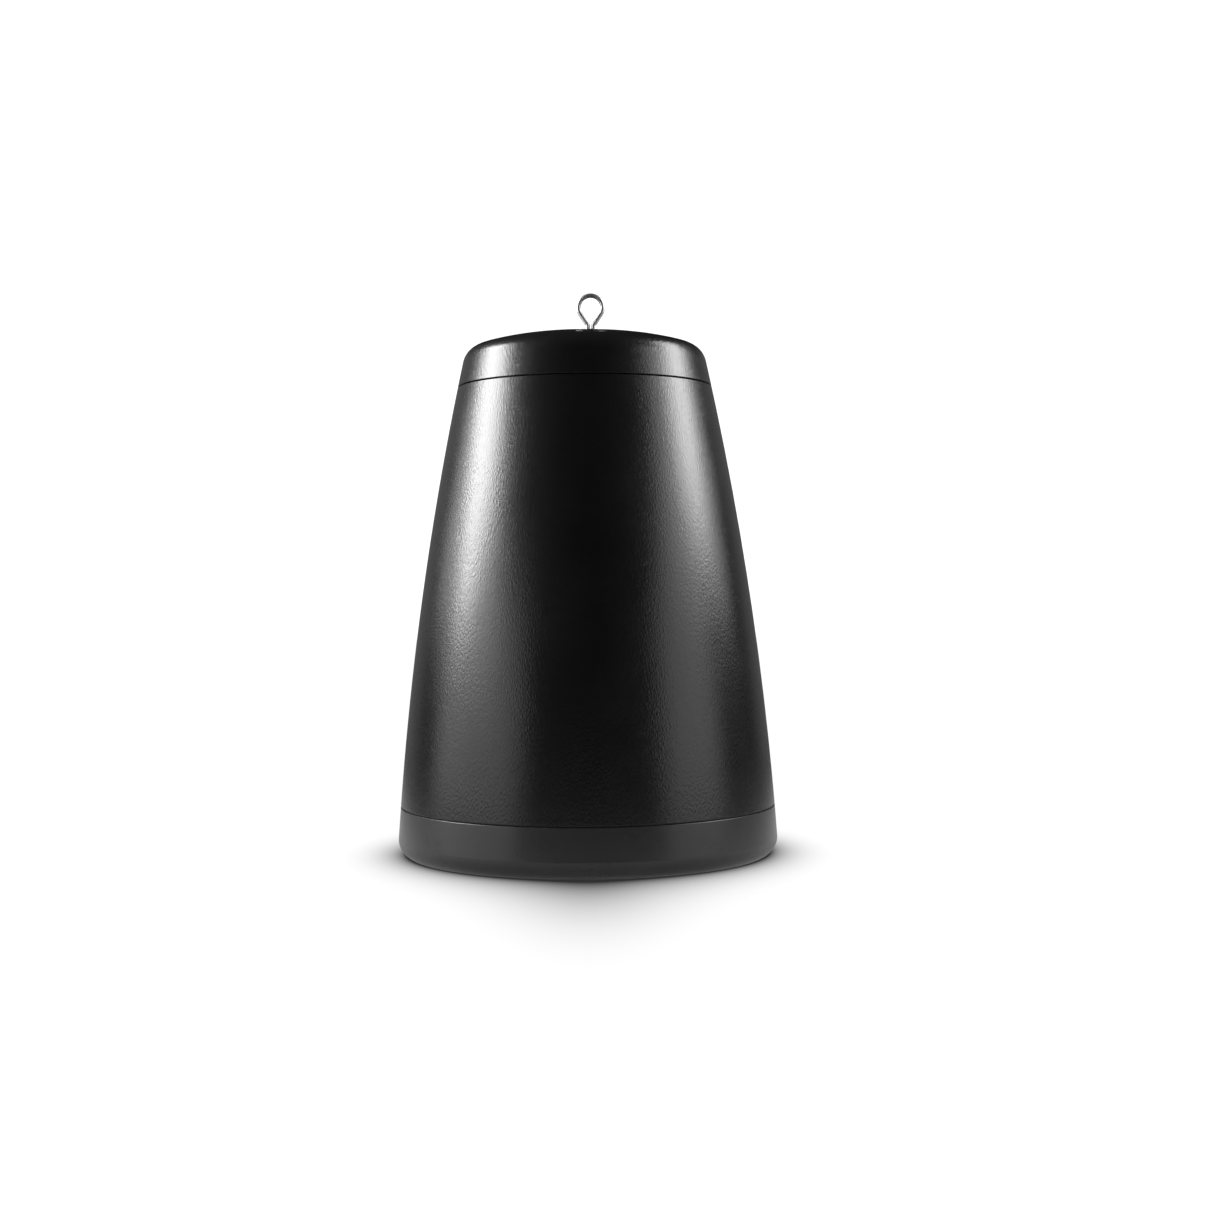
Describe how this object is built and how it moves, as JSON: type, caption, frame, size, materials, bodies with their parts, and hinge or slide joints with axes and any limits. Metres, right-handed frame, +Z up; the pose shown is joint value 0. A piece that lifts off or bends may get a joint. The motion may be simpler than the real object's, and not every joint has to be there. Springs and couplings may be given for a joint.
{
  "type": "pendant loudspeaker",
  "caption": "Tapered round pendant loudspeaker with a lift-off wiring cap, a formed-wire hanging eye and a down-facing coaxial drive unit behind a perforated grille.",
  "frame": {"origin": "centre of the bottom rim plane, on which the loudspeaker stands with its drive units facing down", "axes": "+Z up from the rim through the cap to the hanging eye; +X to the right and -Y towards a viewer facing the plane of the eye's loop; the cable grommet and the bass port are on the +Y side"},
  "size_m": [0.2972, 0.2972, 0.4391],
  "materials": {
    "shell_black": "fine leather-grain moulded texture, semi-matte",
    "inner_black": "smooth moulded, matte",
    "rubber_black": "matt",
    "grille_paint": "powder coated perforated sheet",
    "steel_bright": "zinc plated",
    "wire_bright": "bright drawn wire",
    "steel_black": "black zinc",
    "basket_paint": "black paint on pressed steel",
    "ferrite": "sintered, dull",
    "neodymium": "nickel plated",
    "cone_pulp": "coated pulp",
    "surround_rubber": "soft, matt",
    "spider_cloth": "resin-set cloth",
    "former_foil": "foil",
    "copper_wire": "enamelled copper",
    "terminal_board": "laminate with plated tabs",
    "dome_silk": "doped silk",
    "board_green": "circuit laminate",
    "cap_sleeve": "capacitor sleeve",
    "cement": "cement body",
    "lamination": "stacked sheet",
    "bobbin_nylon": "moulded nylon",
    "winding_tape": "tape over winding",
    "switch_body": "moulded",
    "dial_plate": "printed plate",
    "knob_plastic": "fine texture",
    "terminal_green": "moulded",
    "lead_sleeve": "insulated wire"
  },
  "bodies": {
    "cabinet": {"cabinet_shell": "shell_black", "cap_seal": "rubber_black", "front_baffle": "shell_black", "baffle_gasket": "rubber_black", "baffle_screws": "steel_black", "grille": "grille_paint", "port_tube": "inner_black", "woofer_basket": "basket_paint", "woofer_top_plate": "steel_bright", "woofer_magnet": "ferrite", "woofer_back_plate": "steel_bright", "woofer_surround": "surround_rubber", "woofer_spider": "spider_cloth", "woofer_terminals": "terminal_board", "tinsel_leads": "copper_wire", "woofer_gasket": "rubber_black", "woofer_screws": "steel_black", "tweeter_post": "steel_bright", "tweeter_post_nut": "steel_bright", "tweeter_housing": "inner_black", "tweeter_yoke": "steel_bright", "tweeter_magnet": "neodymium", "tweeter_front_plate": "steel_bright", "tweeter_surround": "dome_silk", "component_plate": "steel_bright", "plate_screws": "steel_bright", "crossover_board": "board_green", "board_spacers": "bobbin_nylon", "board_screws": "steel_bright", "inductors": "copper_wire", "capacitors": "cap_sleeve", "resistor": "cement", "transformer_core": "lamination", "transformer_bobbin": "bobbin_nylon", "transformer_winding": "winding_tape", "transformer_frame": "steel_bright", "tap_switch": "switch_body", "tap_dial": "dial_plate", "tap_nut": "steel_bright", "terminal_header": "terminal_green", "header_leads": "lead_sleeve", "tap_leads": "lead_sleeve", "board_leads": "lead_sleeve", "woofer_leads": "lead_sleeve", "tweeter_leads": "lead_sleeve", "hanger_eye": "wire_bright", "eye_stud": "steel_bright", "eye_nut": "steel_bright", "hanger_bracket": "steel_bright", "bracket_screws": "steel_bright"},
    "cap": {"top_cap": "shell_black", "cable_grommet": "rubber_black"},
    "woofer_diaphragm": {"woofer_cone": "cone_pulp", "voice_coil_former": "former_foil", "voice_coil": "copper_wire"},
    "tweeter_diaphragm": {"tweeter_dome": "dome_silk", "tweeter_coil": "copper_wire"},
    "tap_knob": {"tap_knob": "knob_plastic"},
    "plug": {"terminal_plug": "terminal_green", "plug_screws": "steel_bright"}
  },
  "joints": [
    {"name": "cap_lift", "type": "slide", "parent": "cabinet", "child": "cap", "axis": [0, 0, 1], "range_m": [0, 0.1]},
    {"name": "woofer_travel", "type": "slide", "parent": "cabinet", "child": "woofer_diaphragm", "axis": [0, 0, 1], "range_m": [-0.004, 0.004], "stiffness_N_per_m": 1500, "deforming": ["woofer_surround", "woofer_spider", "tinsel_leads"]},
    {"name": "tweeter_travel", "type": "slide", "parent": "cabinet", "child": "tweeter_diaphragm", "axis": [0, 0, 1], "range_m": [-0.0005, 0.0005], "stiffness_N_per_m": 800, "deforming": ["tweeter_surround"]},
    {"name": "tap_turn", "type": "hinge", "parent": "cabinet", "child": "tap_knob", "pos_m": [0, -0.055, 0.352], "axis": [0, 0, 1], "range_deg": [0, 120]},
    {"name": "plug_pull", "type": "slide", "parent": "cabinet", "child": "plug", "axis": [0, 0, 1], "range_m": [0, 0.016]}
  ]
}
